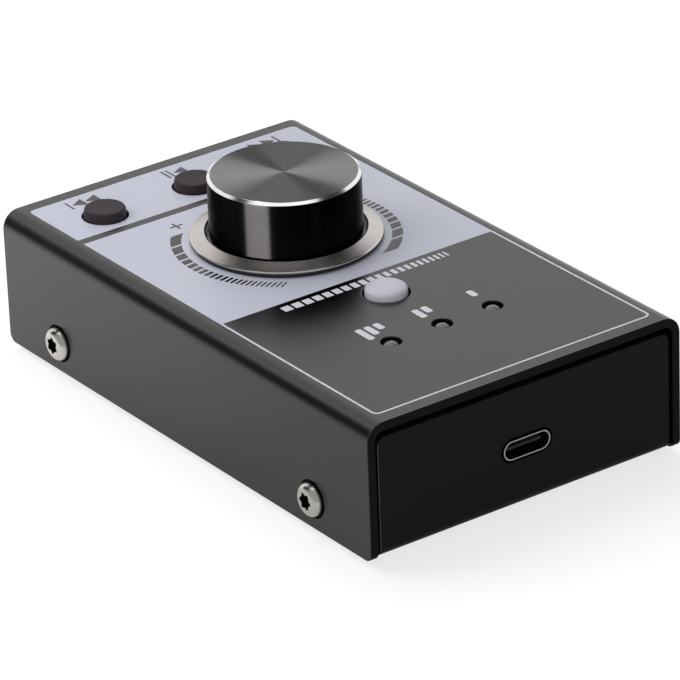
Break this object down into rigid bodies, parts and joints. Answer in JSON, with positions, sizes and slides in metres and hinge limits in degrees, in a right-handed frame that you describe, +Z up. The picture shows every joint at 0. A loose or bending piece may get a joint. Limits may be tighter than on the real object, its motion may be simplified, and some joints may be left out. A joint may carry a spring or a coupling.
{
  "type": "volume controller",
  "caption": "Desktop volume controller: a folded metal box with a turned knob in a bright ring, push buttons, indicator lights and a small rear socket.",
  "frame": {"origin": "centre of the overall box at the bottom of the feet", "axes": "+Z up, +Y towards the wall with the socket, +X to the right of a user who sits in front of the media buttons"},
  "size_m": [0.0628, 0.1, 0.0356],
  "materials": {
    "cover_metal": "satin dark grey",
    "tray_metal": "matte black",
    "plated_steel": "bright nickel plate",
    "foot_rubber": "matte",
    "ring_steel": "fine turned satin",
    "knob_aluminium": "dark anodised, turned, with a bright cut edge",
    "dark_plastic": "moulded",
    "cast_alloy": "plain",
    "contact_brass": "tinned",
    "board_laminate": "green solder mask",
    "standoff_brass": "plain",
    "socket_steel": "bright",
    "media_cap_rubber": "fine matte",
    "mode_cap_plastic": "soft translucent white",
    "plunger_plastic": "natural",
    "light_lens": "water clear"
  },
  "bodies": {
    "housing": {"top_cover": "cover_metal", "bottom_tray": "tray_metal", "case_screws": "plated_steel", "clinch_nuts": "plated_steel", "front_left_foot": "foot_rubber", "front_right_foot": "foot_rubber", "rear_left_foot": "foot_rubber", "rear_right_foot": "foot_rubber", "bezel_ring": "ring_steel", "encoder_base": "dark_plastic", "encoder_bush": "cast_alloy", "encoder_clip": "plated_steel", "encoder_pins": "contact_brass", "circuit_board": "board_laminate", "board_standoffs": "standoff_brass", "board_screws": "plated_steel", "controller_chip": "dark_plastic", "crystal": "plated_steel", "capacitor": "cast_alloy", "usb_shell": "socket_steel", "usb_tongue": "dark_plastic", "previous_switch": "dark_plastic", "play_switch": "dark_plastic", "next_switch": "dark_plastic", "mode_switch": "dark_plastic", "switch_pins": "contact_brass", "left_light": "light_lens", "middle_light": "light_lens", "right_light": "light_lens", "left_light_spacer": "dark_plastic", "middle_light_spacer": "dark_plastic", "right_light_spacer": "dark_plastic", "light_leads": "contact_brass"},
    "rotor": {"encoder_rotor": "contact_brass"},
    "knob": {"knob_shell": "knob_aluminium", "knob_core": "dark_plastic", "encoder_shaft": "cast_alloy"},
    "previous_button": {"previous_cap": "media_cap_rubber", "previous_plunger": "plunger_plastic"},
    "play_button": {"play_cap": "media_cap_rubber", "play_plunger": "plunger_plastic"},
    "next_button": {"next_cap": "media_cap_rubber", "next_plunger": "plunger_plastic"},
    "mode_button": {"mode_cap": "mode_cap_plastic", "mode_plunger": "plunger_plastic"}
  },
  "joints": [
    {"name": "knob_turn", "type": "hinge", "parent": "housing", "child": "rotor", "pos_m": [0, -0.0124, 0.0242], "axis": [0, 0, 1], "continuous": true},
    {"name": "knob_press", "type": "slide", "parent": "rotor", "child": "knob", "axis": [0, 0, -1], "range_m": [0, 0.0005], "stiffness_N_per_m": 6000, "springref_m": -0.0003},
    {"name": "previous_press", "type": "slide", "parent": "housing", "child": "previous_button", "axis": [0, 0, -1], "range_m": [0, 0.0003], "stiffness_N_per_m": 4000, "springref_m": -0.0003},
    {"name": "play_press", "type": "slide", "parent": "housing", "child": "play_button", "axis": [0, 0, -1], "range_m": [0, 0.0003], "stiffness_N_per_m": 4000, "springref_m": -0.0003},
    {"name": "next_press", "type": "slide", "parent": "housing", "child": "next_button", "axis": [0, 0, -1], "range_m": [0, 0.0003], "stiffness_N_per_m": 4000, "springref_m": -0.0003},
    {"name": "mode_press", "type": "slide", "parent": "housing", "child": "mode_button", "axis": [0, 0, -1], "range_m": [0, 0.0003], "stiffness_N_per_m": 4000, "springref_m": -0.0003}
  ]
}
